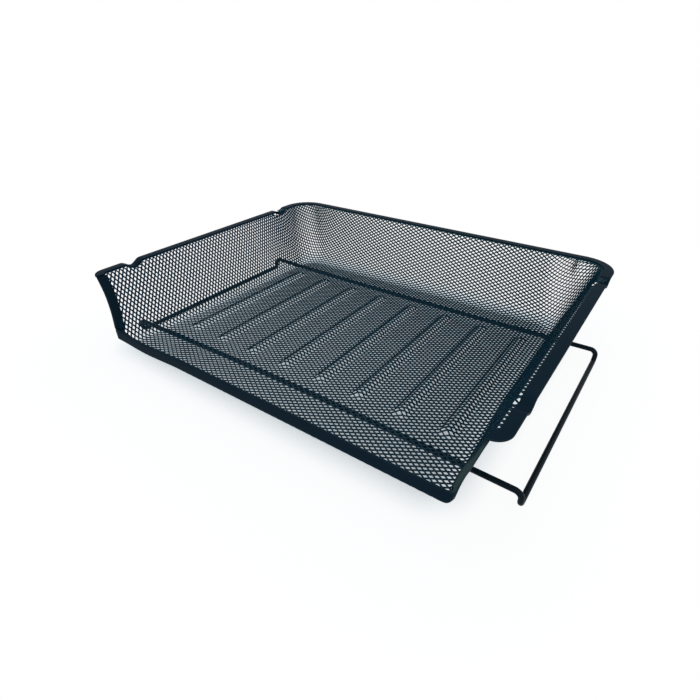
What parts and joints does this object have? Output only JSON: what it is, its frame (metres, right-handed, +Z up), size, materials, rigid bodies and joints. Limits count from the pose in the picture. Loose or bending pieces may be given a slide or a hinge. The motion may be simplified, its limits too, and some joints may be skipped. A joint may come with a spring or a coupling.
{
  "type": "letter tray",
  "caption": "Landscape letter tray in black expanded mesh, with an outward rim, low front lip, raised floor ribs and a welded wire loop base that seats in rim notches when stacked.",
  "frame": {"origin": "middle of the tray's bounding box, on the desk under the foot wires", "axes": "+X to the user's right along the long side, +Y from the open front to the back wall, +Z up"},
  "size_m": [0.372, 0.278, 0.0745],
  "materials": {
    "mesh": "black powder coat, slightly blue, satin",
    "edging": "black powder coat, slightly blue, satin",
    "wire": "black powder coat, satin"
  },
  "bodies": {
    "root": {"mesh_basket": "mesh", "rim_edging": "edging", "front_edging": "edging", "wire_base": "wire"}
  },
  "joints": []
}
